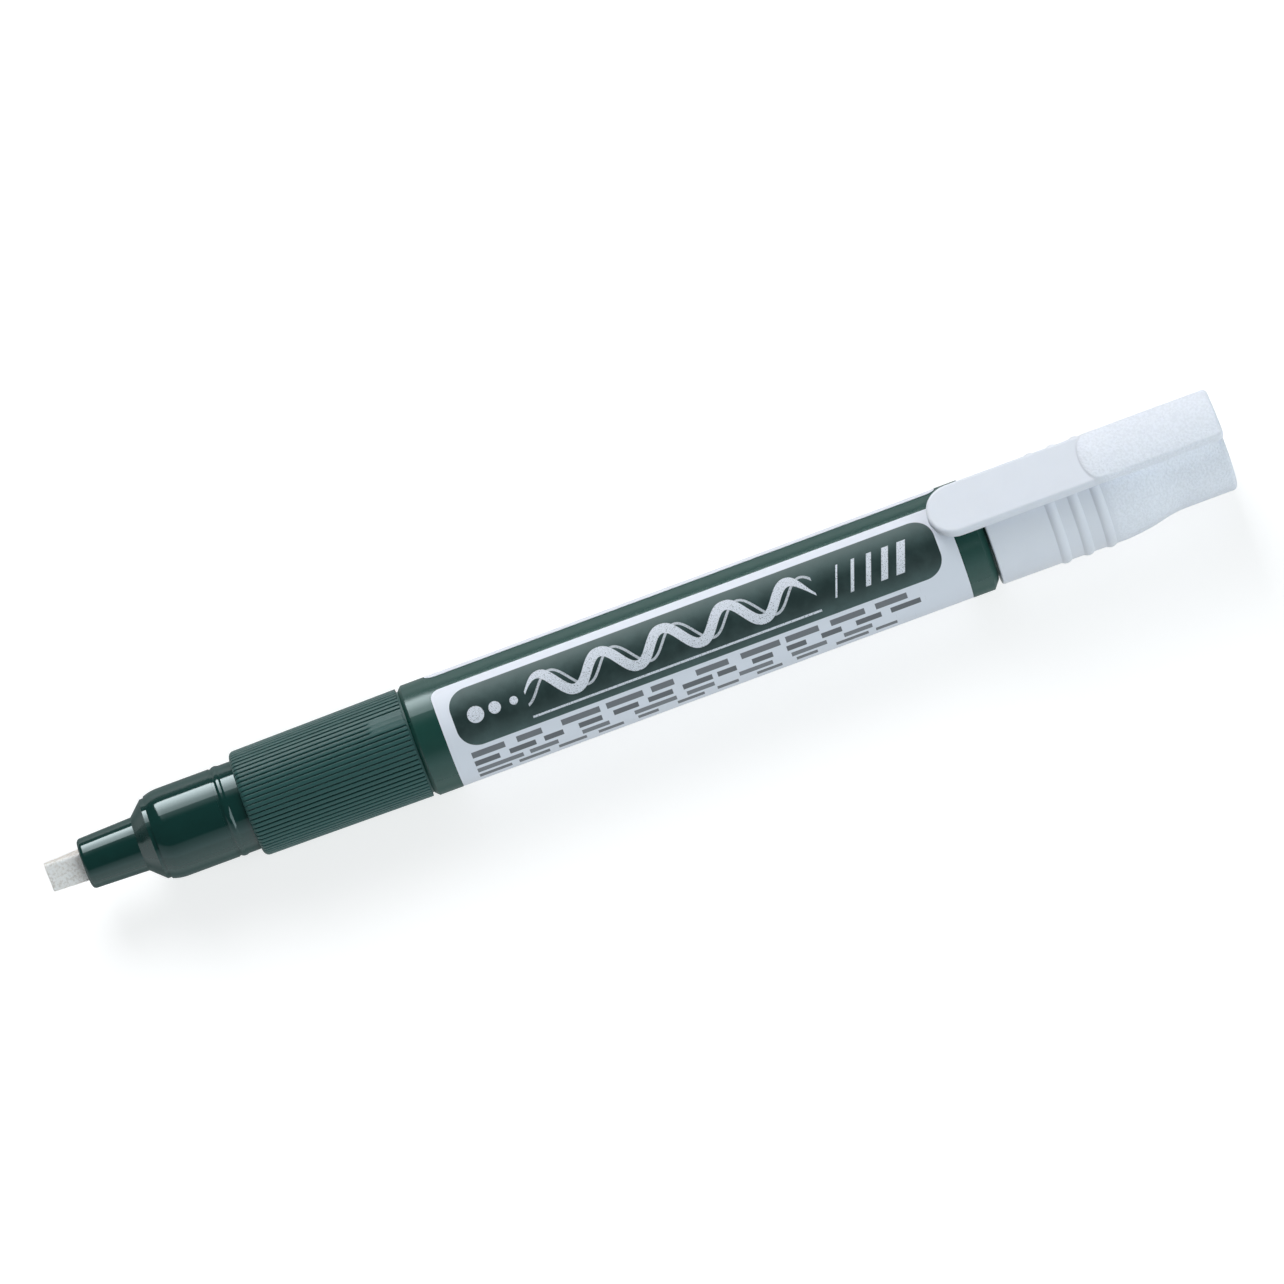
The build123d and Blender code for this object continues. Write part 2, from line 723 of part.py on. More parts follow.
# One STEP file for each piece
pieces = [
    nib, nib_holder, nose, grip_collar, valve_seat, valve_stem, valve_spring,
    valve_housing, barrel, barrel_label, mixing_ball, cap, inner_cap,
]
os.makedirs("parts", exist_ok=True)
for piece in pieces:
    export_step(piece.part, f"parts/{piece.part.label}.step")
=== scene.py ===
from math import cos, pi, radians, sin

import bmesh
import bpy
from bpy.props import FloatProperty, FloatVectorProperty, IntProperty, PointerProperty
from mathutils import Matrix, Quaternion, Vector


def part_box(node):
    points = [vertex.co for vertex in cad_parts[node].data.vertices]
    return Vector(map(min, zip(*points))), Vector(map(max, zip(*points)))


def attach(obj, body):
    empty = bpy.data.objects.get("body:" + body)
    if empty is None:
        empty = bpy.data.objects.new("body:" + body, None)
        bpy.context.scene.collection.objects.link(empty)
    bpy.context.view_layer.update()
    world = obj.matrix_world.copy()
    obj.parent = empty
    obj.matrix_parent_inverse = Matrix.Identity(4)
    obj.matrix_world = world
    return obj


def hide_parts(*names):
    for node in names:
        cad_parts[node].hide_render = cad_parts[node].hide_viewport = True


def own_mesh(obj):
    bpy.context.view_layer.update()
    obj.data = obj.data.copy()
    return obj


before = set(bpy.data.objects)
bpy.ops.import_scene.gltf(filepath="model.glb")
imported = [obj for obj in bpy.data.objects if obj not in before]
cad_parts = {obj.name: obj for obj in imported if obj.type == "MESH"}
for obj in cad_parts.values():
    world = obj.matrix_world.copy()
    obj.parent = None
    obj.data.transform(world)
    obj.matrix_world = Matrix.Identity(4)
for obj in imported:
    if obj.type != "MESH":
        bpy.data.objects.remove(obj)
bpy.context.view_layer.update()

bl_info = {
    "name": "Liquid Chalk Marker",
    "version": (1, 0, 0),
    "blender": (4, 5, 0),
    "location": "3D View > Sidebar > Chalk Marker",
    "description": "Felt, ribs, coil, print and finishes for the packed chalk marker, with its studio",
    "category": "Add Mesh",
}

# Sizes are in metres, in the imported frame: nib towards -X, clip straight up.
MM = 0.001
# How far a made surface stays inside the solid that it stands for
SKIN = 0.03 * MM
# Colour of the reflections on the dark green plastics
COOL_GLOSS = (0.84, 0.98, 1.0, 1.0)
barrel_low, barrel_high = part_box("barrel")
collar_low, collar_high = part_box("grip_collar")
label_low, label_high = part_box("barrel_label")
spring_low, spring_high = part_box("valve_spring")
nose_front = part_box("nose")[0].x
cap_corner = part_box("cap")[1]
axis_z = (barrel_low.z + barrel_high.z) / 2
barrel_radius = (barrel_high.z - barrel_low.z) / 2
label_radius = (label_high.z - label_low.z) / 2
collar_radius = (collar_high.z - collar_low.z) / 2
collar_length = collar_high.x - collar_low.x

# Kinds of input that a geometry node tree takes
FLOAT, WHOLE, VECTOR = "NodeSocketFloat", "NodeSocketInt", "NodeSocketVector"


def length(name, description, millimetres):
    """A size that a user may change, given in millimetres and kept in metres."""
    return FloatProperty(
        name=name, description=description, default=millimetres * MM, min=0.0, precision=5, unit="LENGTH"
    )


def angle(name, description, degrees):
    """An angle that a user may change."""
    return FloatProperty(name=name, description=description, default=radians(degrees), subtype="ANGLE")


def share(name, description, value):
    """A plain number that a user may change."""
    return FloatProperty(name=name, description=description, default=value, precision=3)


def count(name, description, value, least):
    """A whole number that a user may change."""
    return IntProperty(name=name, description=description, default=value, min=least)


def tint(name, description, red, green, blue):
    """A colour that a user may change."""
    return FloatVectorProperty(
        name=name, description=description, default=(red, green, blue), size=3, min=0.0, max=1.0,
        subtype="COLOR",
    )


class NibFelt(bpy.types.PropertyGroup):
    """The felt nib's surface."""

    cell: length("Cell", "Size of the felt mesh's cells", 0.1)
    smoothing: count("Smoothing", "Rounds of smoothing on the felt's edges", 4, least=0)
    grain_height: length("Grain height", "How far the felt's surface rises and falls", 0.045)
    grain_size: length("Grain size", "Distance between the felt's lumps", 0.26)
    fibre_length: length("Fibre length", "Length of a loose fibre", 0.42)
    fibre_width: length("Fibre width", "Thickness of a loose fibre", 0.016)
    fibre_density: share("Fibre density", "Loose fibres on each square millimetre", 14.0)
    seed: count("Seed", "Seed for the places of the fibres", 5, least=0)


class GripSizes(bpy.types.PropertyGroup):
    """The ribbed grip collar."""

    rib_count: count("Rib count", "Ribs round the collar", 68, least=12)
    rib_width: length("Rib width", "Width of a rib", 0.44)
    rib_height: length("Rib height", "Height of a rib's section, with the part sunk in the sleeve", 0.38)
    rib_round: length("Rib round", "Radius of a rib's edges", 0.07)
    groove_depth: length("Groove depth", "Depth of the grooves between the ribs", 0.27)
    draft: length("Draft", "How much smaller the collar's radius is at its front", 0.21)
    edge_round: length("Edge round", "Radius of the collar's front edge", 0.65)
    wall: length("Wall", "Distance of the collar's bore from the barrel's surface", 1.47)
    seam_depth: length("Seam depth", "Depth of the seam between the collar and the barrel", 0.4)
    pad_length: length("Pad length", "Length of the smooth pad at the collar's rear", 4.9)
    pad_slope: length("Pad slope", "Length over which the grooves fade out into the pad", 1.3)
    pad_arc: angle("Pad arc", "Angle that the pad spans, from rib to rib", 17.4)
    pad_turn: angle("Pad turn", "Turn of the pad's middle from straight up towards +Y", 5.3)
    pad_foot: length("Pad foot", "Depth of the pad's foot below the crests, sunk in the sleeve", 0.34)
    pad_edge: length("Pad edge", "Width of the bevel round the pad", 0.07)


class SpringCoil(bpy.types.PropertyGroup):
    """The valve's steel coil."""

    wire: length("Wire", "Thickness of the wire", 0.4)
    turns: share("Turns", "Turns of the coil", 7.0)
    travel: length("Travel", "How far the nib presses the coil together", 2.0)


class LabelPrint(bpy.types.PropertyGroup):
    """The print on the label film, measured from the film's front end and from the middle of its front."""

    face_turn: angle("Face turn", "Turn of the print's middle from straight up towards -Y", 25.0)
    panel_start: length("Panel start", "Where the dark panel starts", 1.5)
    panel_end: length("Panel end", "Where the dark panel ends", 58.6)
    panel_bottom: length("Panel bottom", "How far the dark panel reaches below the middle", 2.9)
    panel_top: length("Panel top", "How far the dark panel reaches above the middle", 4.05)
    panel_round: length("Panel round", "Radius of the dark panel's corners", 2.4)
    wave_length: length("Wave length", "Length of one chalk wave", 7.4)
    wave_height: length("Wave height", "Height of the chalk waves", 1.5)
    wave_width: length("Wave width", "Thickness of the chalk line", 1.15)
    bar_height: length("Bar height", "Height of the plain bars below the panel", 0.8)
    bar_pitch: length("Bar pitch", "Distance between the rows of bars", 1.28)


class Finishes(bpy.types.PropertyGroup):
    """Colours of the marker's materials."""

    felt: tint("Felt", "Nib felt", 1.0, 0.955, 0.915)
    nose: tint("Nose", "Gloss plastic of the nose", 0.004, 0.033, 0.028)
    grip: tint("Grip", "Matte plastic of the collar", 0.016, 0.078, 0.072)
    barrel: tint("Barrel", "Satin plastic of the barrel", 0.010, 0.054, 0.043)
    film: tint("Film", "Bare label film", 0.74, 0.77, 0.84)
    panel: tint("Panel", "Dark panel on the film", 0.007, 0.024, 0.023)
    # Painted reflection: the colour that the dark panel is painted towards its top and bottom edges
    panel_painted_reflection: tint("Haze", "Lighter edges of the dark panel", 0.055, 0.098, 0.096)
    bars: tint("Bars", "Plain bars on the film", 0.085, 0.095, 0.105)
    cap: tint("Cap", "Satin plastic of the cap", 0.79, 0.815, 0.88)
    liner: tint("Liner", "Natural plastic of the inner cap", 0.80, 0.81, 0.80)
    valve: tint("Valve", "Natural plastic of the valve", 0.74, 0.75, 0.73)
    seal: tint("Seal", "Rubber of the valve seat", 0.035, 0.035, 0.036)
    steel: tint("Steel", "Steel of the coil and the ball", 0.60, 0.60, 0.61)


class Studio(bpy.types.PropertyGroup):
    """Camera, lights and floor."""

    elevation: angle("Elevation", "Height of the camera above the floor", 65.0)
    roll: angle("Roll", "How far the marker rises to the right in the picture", 20.3)
    lens: share("Lens", "Focal length of the camera, in millimetres", 210.0)
    frame_width: length("Frame width", "Width of the picture at the marker", 143.3)
    aim_along: length("Aim along", "Distance of the aim from the marker's middle, towards the cap", 1.42)
    aim_above: length("Aim above", "Distance of the aim above the marker's axis in the picture", 1.7)
    key_turn: angle("Key turn", "Turn of the softbox from straight up towards +Y", 33.5)
    key_shift: share("Key shift", "Lean of the softbox towards the cap end, to 1 of its distance", -0.06)
    key_distance: length("Key distance", "Distance of the softbox from the marker", 550.0)
    key_width: length("Key width", "Width of the softbox, along the marker", 320.0)
    key_height: length("Key height", "Height of the softbox", 660.0)
    key_fade: share("Key fade", "How fast the softbox dims towards its upper edge", 1.7)
    key_power: share("Key power", "Power of the softbox above and behind the marker, in watts", 8.3)
    key_tint: tint("Key tint", "Colour of the softbox", 0.97, 0.985, 1.0)
    fill_turn: angle("Fill turn", "Turn of the side card towards the cap end", 48.0)
    fill_front: share("Fill front", "Lean of the side card towards -Y", 0.8)
    fill_rise: share("Fill rise", "Rise of the side card", 0.75)
    fill_distance: length("Fill distance", "Distance of the side card from the marker", 1000.0)
    fill_size: length("Fill size", "Side of the square side card", 750.0)
    fill_power: share("Fill power", "Power of the side card, in watts", 5.0)
    fill_tint: tint("Fill tint", "Colour of the side card", 0.88, 0.975, 1.0)
    room_tint: tint("Room tint", "Colour of the room's light", 0.9, 0.965, 1.0)
    room_level: share("Room level", "Strength of the room's light all round", 0.1)
    wall_level: share("Wall level", "Strength of the front wall's card at the floor", 1.15)
    wall_fade: share("Wall fade", "How much the front wall's card dims from the floor to straight up", 1.6)
    floor_tint: tint("Floor", "Colour of the floor", 0.50, 0.50, 0.50)
    floor_lift: share("Floor lift", "White that the floor shows to the camera on top of its own", 0.66)
    floor_side: length("Floor side", "Side of the square floor", 30000.0)


class Field:
    """A number that varies over a surface, with arithmetic that adds Math nodes."""

    def __init__(self, nodes, socket):
        self.nodes = nodes
        self.socket = socket

    def apply(self, operation, *others):
        feeds = dict(enumerate([self, *others]))
        return self.nodes.number("ShaderNodeMath", feeds, operation=operation)

    def __add__(self, other):
        return self.apply("ADD", other)

    def __sub__(self, other):
        return self.apply("SUBTRACT", other)

    def __mul__(self, other):
        return self.apply("MULTIPLY", other)

    def __truediv__(self, other):
        return self.apply("DIVIDE", other)

    def __abs__(self):
        return self.apply("ABSOLUTE")

    def least(self, other):
        return self.apply("MINIMUM", other)

    def most(self, other):
        return self.apply("MAXIMUM", other)

    def root(self):
        return self.apply("SQRT")

    def span(self, low, high):
        """From low to high as the field goes from 0 to 1."""
        return self * (high - low) + low

    def rise(self, low, high):
        """0 below low, 1 above high and smooth between them; low may be the larger."""
        feeds = {"Value": self, "From Min": low, "From Max": high}
        return self.nodes.number("ShaderNodeMapRange", feeds, interpolation_type="SMOOTHSTEP")

    def inside(self, soft):
        """1 where a distance is below 0, with an edge that is soft wide."""
        return self.rise(soft / 2, -soft / 2)


class Nodes:
    """A node tree under way."""

    def __init__(self, tree):
        self.tree = tree

    def feed(self, socket, value):
        """Links a field or an output to a socket, or sets a plain value there."""
        value = value.socket if isinstance(value, Field) else value
        if isinstance(value, bpy.types.NodeSocket):
            self.tree.links.new(value, socket)
        else:
            socket.default_value = value

    def node(self, kind, feeds=None, **settings):
        """A new node, with its settings made and its inputs fed."""
        made = self.tree.nodes.new(kind)
        for name, value in settings.items():
            setattr(made, name, value)
        for key, value in (feeds or {}).items():
            self.feed(made.inputs[key], value)
        return made

    def add(self, kind, feeds=None, out=0, **settings):
        """One output of a new node."""
        return self.node(kind, feeds, **settings).outputs[out]

    def number(self, kind, feeds=None, out=0, **settings):
        """One output of a new node, as a field."""
        return Field(self, self.add(kind, feeds, out, **settings))

    def parts(self, vector):
        """The three fields of a vector."""
        return [Field(self, part) for part in self.node("ShaderNodeSeparateXYZ", {0: vector}).outputs]


def opaque(colour):
    """A colour with full alpha; an output stays as it is."""
    return colour if isinstance(colour, bpy.types.NodeSocket) else (*colour, 1.0)


class Finish(Nodes):
    """A procedural material under way. Its fields measure in millimetres, from the marker's axis."""

    def __init__(self, name, **constants):
        self.material = bpy.data.materials.new(name)
        self.material.use_nodes = True
        super().__init__(self.material.node_tree)
        self.shader = self.tree.nodes["Principled BSDF"]
        self.give(**constants)
        from_axis = {0: self.add("ShaderNodeTexCoord", out="Object"), 1: (0.0, 0.0, axis_z)}
        centred = self.add("ShaderNodeVectorMath", from_axis, operation="SUBTRACT")
        self.place = self.add("ShaderNodeVectorMath", {0: centred, "Scale": 1 / MM}, operation="SCALE")
        self.x, self.y, self.z = self.parts(self.place)

    def noise(self, per_mm, detail=2.0, stretch=(1.0, 1.0, 1.0)):
        """Cloudy noise from 0 to 1, with so many lumps to a millimetre."""
        place = self.add("ShaderNodeVectorMath", {0: self.place, 1: stretch}, operation="MULTIPLY")
        feeds = {"Vector": place, "Scale": per_mm, "Detail": detail}
        return self.number("ShaderNodeTexNoise", feeds, out="Fac")

    def slant(self):
        """0 where the surface is seen square on and 1 at a slant, where gloss is softer."""
        return self.number("ShaderNodeLayerWeight", {"Blend": 0.5}, out="Facing").rise(0.3, 0.62)

    def blend(self, amount, first, second):
        """A colour between two, each a colour or an output."""
        feeds = {0: amount, 6: opaque(first), 7: opaque(second)}
        return self.add("ShaderNodeMix", feeds, out=2, data_type="RGBA")

    def shades(self, colour, amount, spread):
        """One colour, lighter and darker by the spread as a field goes from 0 to 1."""
        darker = [channel * (1 - spread) for channel in colour]
        lighter = [min(1.0, channel * (1 + spread)) for channel in colour]
        return self.blend(amount, darker, lighter)

    def bump(self, height, depth):
        """Raises the surface by a field times a depth in millimetres."""
        feeds = {"Height": height, "Distance": depth * MM, "Strength": 1.0}
        self.give(Normal=self.add("ShaderNodeBump", feeds))

    def give(self, **values):
        """Feeds fields, colours or plain values to the shader's inputs."""
        for socket, value in values.items():
            self.feed(self.shader.inputs[socket.replace("_", " ")], value)
        return self.material


class Growth(Nodes):
    """A geometry node tree under way, with named inputs besides its geometry and its material."""

    def __init__(self, name, **inputs):
        super().__init__(bpy.data.node_groups.new(name, "GeometryNodeTree"))
        sockets = self.tree.interface
        sockets.new_socket("Geometry", in_out="INPUT", socket_type="NodeSocketGeometry")
        sockets.new_socket("Geometry", in_out="OUTPUT", socket_type="NodeSocketGeometry")
        kinds = {"Material": "NodeSocketMaterial", **inputs}
        self.keys = {
            label: sockets.new_socket(label, in_out="INPUT", socket_type=kind).identifier
            for label, kind in kinds.items()
        }
        self.given = self.node("NodeGroupInput").outputs
        self.result = self.node("NodeGroupOutput").inputs[0]

    def field(self, label):
        """One of the tree's inputs, as a field."""
        return Field(self, self.given[label])

    def vector(self, x=0.0, y=0.0, z=0.0):
        return self.add("ShaderNodeCombineXYZ", {0: x, 1: y, 2: z})

    def rotation(self, turns):
        """A rotation from a vector of turns about X, Y and Z."""
        return self.add("FunctionNodeEulerToRotation", {0: turns})

    def circle(self, sides, width):
        """A round section of a given width."""
        return self.add("GeometryNodeCurvePrimitiveCircle", {"Resolution": sides, "Radius": width * 0.5})

    def tube(self, curve, section):
        """A section swept along a curve, closed at its ends."""
        feeds = {"Curve": curve, "Profile Curve": section, "Fill Caps": True}
        return self.add("GeometryNodeCurveToMesh", feeds)

    def copies(self, points, piece, rotation):
        """Copies of a piece on points."""
        feeds = {"Points": points, "Instance": piece, "Rotation": rotation}
        return self.add("GeometryNodeInstanceOnPoints", feeds)

    def end(self, geometry):
        """Closes the tree: real geometry, smooth, in the piece's material."""
        real = self.add("GeometryNodeRealizeInstances", {0: geometry})
        smooth = self.add("GeometryNodeSetShadeSmooth", {"Geometry": real})
        feeds = {"Geometry": smooth, "Material": self.given["Material"]}
        self.feed(self.result, self.add("GeometryNodeSetMaterial", feeds))

    def grow(self, source, **values):
        """The plain mesh that the tree makes of a source object, which is then removed."""
        modifier = source.modifiers.new(self.tree.name, "NODES")
        modifier.node_group = self.tree
        for label, value in values.items():
            modifier[self.keys[label]] = value
        return plain_mesh(source, self.tree.name)


def linked(name, data):
    """A new object at the origin, in the scene."""
    made = bpy.data.objects.new(name, data)
    bpy.context.scene.collection.objects.link(made)
    return made


def plain_mesh(source, name):
    """An object's mesh with its modifiers applied; the object is removed."""
    depsgraph = bpy.context.evaluated_depsgraph_get()
    mesh = bpy.data.meshes.new_from_object(source.evaluated_get(depsgraph), depsgraph=depsgraph)
    mesh.name = name
    bpy.data.objects.remove(source)
    return mesh


def mesh_of(form, name, material):
    """A smooth mesh from a bmesh, in one material."""
    bmesh.ops.recalc_face_normals(form, faces=form.faces)
    mesh = bpy.data.meshes.new(name)
    form.to_mesh(mesh)
    form.free()
    mesh.materials.append(material)
    mesh.shade_smooth()
    return mesh


def seat(piece, body):
    """Lets a piece ride on a body."""
    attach(piece, body)
    return piece


def dress(material, *nodes):
    """Gives CAD nodes a finished material."""
    for node in nodes:
        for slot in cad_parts[node].material_slots:
            slot.material = material


def felt_finish(colour):
    """Pressed felt: fibres that cross along and across the nib, and specks between them."""
    felt = Finish(
        "nib_felt", Roughness=0.95, Sheen_Weight=1.0, Sheen_Roughness=0.6, Sheen_Tint=(1.0, 0.86, 0.7, 1.0)
    )
    along = felt.noise(per_mm=13.0, stretch=(0.22, 1.0, 1.0))
    across = felt.noise(per_mm=11.0, stretch=(1.0, 0.3, 0.3))
    specks = felt.noise(per_mm=3.2, detail=4.0)
    fibres = along.most(across)
    mixed = specks.rise(0.36, 0.54) * 0.65 + fibres.rise(0.36, 0.62) * 0.35
    felt.bump(fibres * 0.7 + specks, depth=0.045)
    return felt.give(Base_Color=felt.shades(colour, mixed, spread=0.26))


def nose_finish(colour):
    """Gloss moulded plastic with faintly uneven reflections, matte on the shank inside the collar."""
    gloss = Finish("nose_gloss", IOR=1.56, Specular_Tint=COOL_GLOSS)
    shank_start, fade = collar_low.x / MM, 2.0
    shank = gloss.x.rise(shank_start, shank_start + fade)
    cloud = gloss.noise(per_mm=0.7, detail=3.0)
    speckle = gloss.noise(per_mm=4.0, detail=3.0)
    gloss.bump(gloss.noise(per_mm=0.35, detail=1.0), depth=0.010)
    return gloss.give(
        Base_Color=gloss.shades(colour, cloud, spread=0.12),
        Roughness=speckle.span(0.05, 0.12) + shank.most(gloss.slant()) * 0.6,
    )


def grip_finish(colour):
    """Matte moulded plastic with a fine eroded grain."""
    matte = Finish("grip_matte", IOR=1.47)
    grain = matte.noise(per_mm=16.0, detail=3.0)
    cloud = matte.noise(per_mm=0.5, detail=3.0)
    matte.bump(grain, depth=0.012)
    return matte.give(
        Base_Color=matte.shades(colour, cloud * 0.6 + grain * 0.4, spread=0.16),
        Roughness=grain.span(0.42, 0.58),
    )


def barrel_finish(colour):
    """Satin moulded plastic."""
    satin = Finish("barrel_satin", IOR=1.5, Specular_Tint=COOL_GLOSS)
    cloud = satin.noise(per_mm=0.6, detail=3.0)
    grain = satin.noise(per_mm=9.0)
    satin.bump(grain, depth=0.003)
    return satin.give(
        Base_Color=satin.shades(colour, cloud, spread=0.1),
        Roughness=grain.span(0.19, 0.29) + satin.slant() * 0.35,
    )


def cap_finish(colour):
    """Satin plastic, smooth up to the last ring, eroded on the crown and the end, whose colour is also
    painted paler there as a painted highlight.
    """
    satin = Finish(
        "cap_satin", IOR=1.49, Subsurface_Weight=0.06, Subsurface_Radius=(0.0012, 0.0014, 0.002)
    )
    end_length, end_fade = 15.2, 1.6
    crown_rise, crown_fade = 0.5, 0.1
    end_start = cap_corner.x / MM - end_length
    crown_foot = (cap_corner.z - axis_z) / MM - crown_rise
    crown = satin.z.rise(crown_foot, crown_foot + crown_fade)
    rough = satin.x.rise(end_start, end_start + end_fade).most(crown)
    pits = satin.noise(per_mm=3.6, detail=3.0)
    cloud = satin.noise(per_mm=0.35)
    satin.bump(pits * rough.span(0.06, 1.0), depth=0.1)
    # Painted highlight: the crown and the end are painted paler, on top of a random cloud of tone.
    pale = cloud * 0.25 + rough * pits.rise(0.35, 0.65).span(0.39, 0.81)
    return satin.give(
        Base_Color=satin.shades(colour, pale, spread=0.09),
        Roughness=pits.span(0.36, 0.46) + rough * 0.16,
    )


def natural_finish(name, colour):
    """Undyed plastic, a little cloudy."""
    cloudy = Finish(name, IOR=1.5, Subsurface_Weight=0.15, Subsurface_Radius=(0.002, 0.002, 0.002))
    cloud = cloudy.noise(per_mm=0.8, detail=3.0)
    cloudy.bump(cloudy.noise(per_mm=6.0), depth=0.004)
    return cloudy.give(
        Base_Color=cloudy.shades(colour, cloud, spread=0.05),
        Roughness=cloud.span(0.34, 0.49),
    )


def seal_finish(colour):
    """Moulded rubber with a powdery surface."""
    rubber = Finish("seal_rubber", IOR=1.45)
    dust = rubber.noise(per_mm=7.0, detail=4.0)
    rubber.bump(dust, depth=0.01)
    return rubber.give(Base_Color=rubber.shades(colour, dust, spread=0.3), Roughness=dust.span(0.6, 0.8))


def steel_finish(colour):
    """Drawn and tumbled steel."""
    steel = Finish("bright_steel", Metallic=1.0)
    wear = steel.noise(per_mm=5.0, detail=4.0)
    streaks = steel.noise(per_mm=18.0, stretch=(1.0, 0.2, 0.2))
    steel.bump(streaks, depth=0.002)
    return steel.give(
        Base_Color=steel.shades(colour, wear, spread=0.08),
        Roughness=streaks.span(0.14, 0.28) + wear * 0.1,
    )


class Print:
    """The label's print: plain shapes drawn in millimetres along and across the film."""

    soft_edge = 0.05
    # How far the darkest line of the panel's painted reflection lies below its middle
    dark_drop = 0.5
    # Chalk wave on the dark panel, with a thin echo beside it and a rule below
    wave_margins = (8.5, 14.5)
    wave_taper = 3.0
    wave_thin = 0.2
    wave_lift = 0.35
    echo_shift = 1.5
    echo_share = 0.25
    echo_strength = 0.75
    rule_rise = 0.95
    rule_width = 0.26
    # Line samples after the wave and dots before it
    sample_gap = 2.6
    slant = 0.36
    stroke_widths = (0.22, 0.4, 0.6, 0.8, 1.0)
    stroke_pitch = 1.9
    stroke_reach = 1.75
    dot_widths = (1.9, 1.4, 0.95)
    dot_pitch = 2.25
    # Rows of bars below the panel, each with its pitch and its strength
    bar_rows = ((5.3, 0.93), (4.1, 1.0), (6.2, 0.9), (4.7, 0.96))
    bar_margins = (0.6, 0.8)
    bar_drop = 0.95
    # Shortest and longest bar, in shares of the pitch
    bar_shares = (0.5, 0.9)
    # Outlined block of bars on the far side of the film
    block_across = (11.6, 18.0)
    block_round = 0.9
    block_line = 0.32
    block_pitches = (7.3, 5.9, 6.7)
    block_first = 13.5
    block_margin = 2.0
    block_strength = 0.7
    # Steps between the seeds of the rows, and the seed of the block's first row
    row_seed = 31.0
    block_seed = 200.0

    def __init__(self, film, art):
        self.film = film
        around = film.y.apply("ARCTAN2", film.z)
        self.along = film.x - label_low.x / MM
        self.across = (around + art.face_turn) * (label_radius / MM)
        self.start, self.end = art.panel_start / MM, art.panel_end / MM
        self.bottom, self.top = -art.panel_bottom / MM, art.panel_top / MM
        self.middle = (self.bottom + self.top) / 2
        self.corner = art.panel_round / MM
        self.wave_length, self.wave_height = art.wave_length / MM, art.wave_height / MM
        self.wave_width = art.wave_width / MM
        self.bar_height, self.bar_pitch = art.bar_height / MM, art.bar_pitch / MM

    def panel(self, bottom, top, corner):
        """Distance from a rounded rectangle between the panel's ends, below 0 inside it."""
        side = abs(self.along - (self.start + self.end) / 2) - ((self.end - self.start) / 2 - corner)
        rise = abs(self.across - (bottom + top) / 2) - ((top - bottom) / 2 - corner)
        outer_side, outer_rise = side.most(0.0), rise.most(0.0)
        outer = (outer_side * outer_side + outer_rise * outer_rise).root()
        return outer + side.most(rise).least(0.0) - corner

    def dot(self, along, width):
        """1 on a disc on the panel's middle line."""
        side, rise = self.along - along, self.across - self.middle
        return ((side * side + rise * rise).root() - width / 2).inside(self.soft_edge)

    def wave(self, start, width):
        """1 on a wavy line, thinned where it is steep so that its width is even."""
        turn = (self.along - start) * (2 * pi / self.wave_length)
        slope = turn.apply("COSINE") * (self.wave_height * 2 * pi / self.wave_length)
        steepness = (slope * slope + 1.0).root()
        off = abs(self.across - turn.apply("SINE") * self.wave_height - (self.middle + self.wave_lift))
        return (off / steepness - width / 2).inside(self.soft_edge)

    def stroke(self, along, width):
        """1 on one slanted stroke across the panel's middle line."""
        rise = self.across - self.middle
        lean = self.along - along - rise * self.slant
        return (abs(lean) - width / 2).most(abs(rise) - self.stroke_reach).inside(self.soft_edge)

    def within(self, start, end):
        """1 between two places along the film."""
        return (abs(self.along - (start + end) / 2) - (end - start) / 2).inside(self.soft_edge)

    def bars(self, start, end, across, pitch, seed):
        """1 on a row of plain bars of uneven length, as many as fit between two places along the film."""
        steps = (self.along - start) / pitch
        cell = steps.apply("FLOOR")
        spread = self.film.number("ShaderNodeTexWhiteNoise", {"W": cell + seed}, noise_dimensions="1D")
        past_end = (steps - cell - spread.span(*self.bar_shares)) * pitch
        row = past_end.most(abs(self.across - across) - self.bar_height / 2).inside(self.soft_edge)
        return row * self.within(start, start + (end - start) // pitch * pitch)

    def chalk(self):
        """1 on the marks of chalk on the dark panel."""
        start, end = self.start + self.wave_margins[0], self.end - self.wave_margins[1]
        first = self.along.rise(start, start + self.wave_taper)
        taper = first * self.along.rise(end, end - self.wave_taper)
        wave = self.wave(start, taper.span(self.wave_width * self.wave_thin, self.wave_width))
        echo = self.wave(start + self.echo_shift, self.wave_width * self.echo_share) * self.echo_strength
        rule = abs(self.across - (self.bottom + self.rule_rise)) - self.rule_width / 2
        marks = wave.most(echo).most(rule.inside(self.soft_edge)) * self.within(start, end)
        for place, width in enumerate(self.stroke_widths):
            marks = marks.most(self.stroke(end + self.sample_gap + place * self.stroke_pitch, width))
        for place, width in enumerate(self.dot_widths):
            marks = marks.most(self.dot(self.start + self.sample_gap + place * self.dot_pitch, width))
        return marks

    def ink(self):
        """1 on the bars below the panel, and on the far side's block and its bars."""
        outline = abs(self.panel(*self.block_across, self.block_round)) - self.block_line / 2
        ink = outline.inside(self.soft_edge)
        start, end = self.start + self.bar_margins[0], self.end - self.bar_margins[1]
        for row, (pitch, strength) in enumerate(self.bar_rows):
            across = self.bottom - self.bar_drop - row * self.bar_pitch
            ink = ink.most(self.bars(start, end, across, pitch, self.row_seed * row) * strength)
        start, end = self.start + self.block_margin, self.end - self.block_margin
        for row, pitch in enumerate(self.block_pitches):
            across = self.block_first + row * self.bar_pitch
            bars = self.bars(start, end, across, pitch, self.block_seed + self.row_seed * row)
            ink = ink.most(bars * self.block_strength)
        return ink


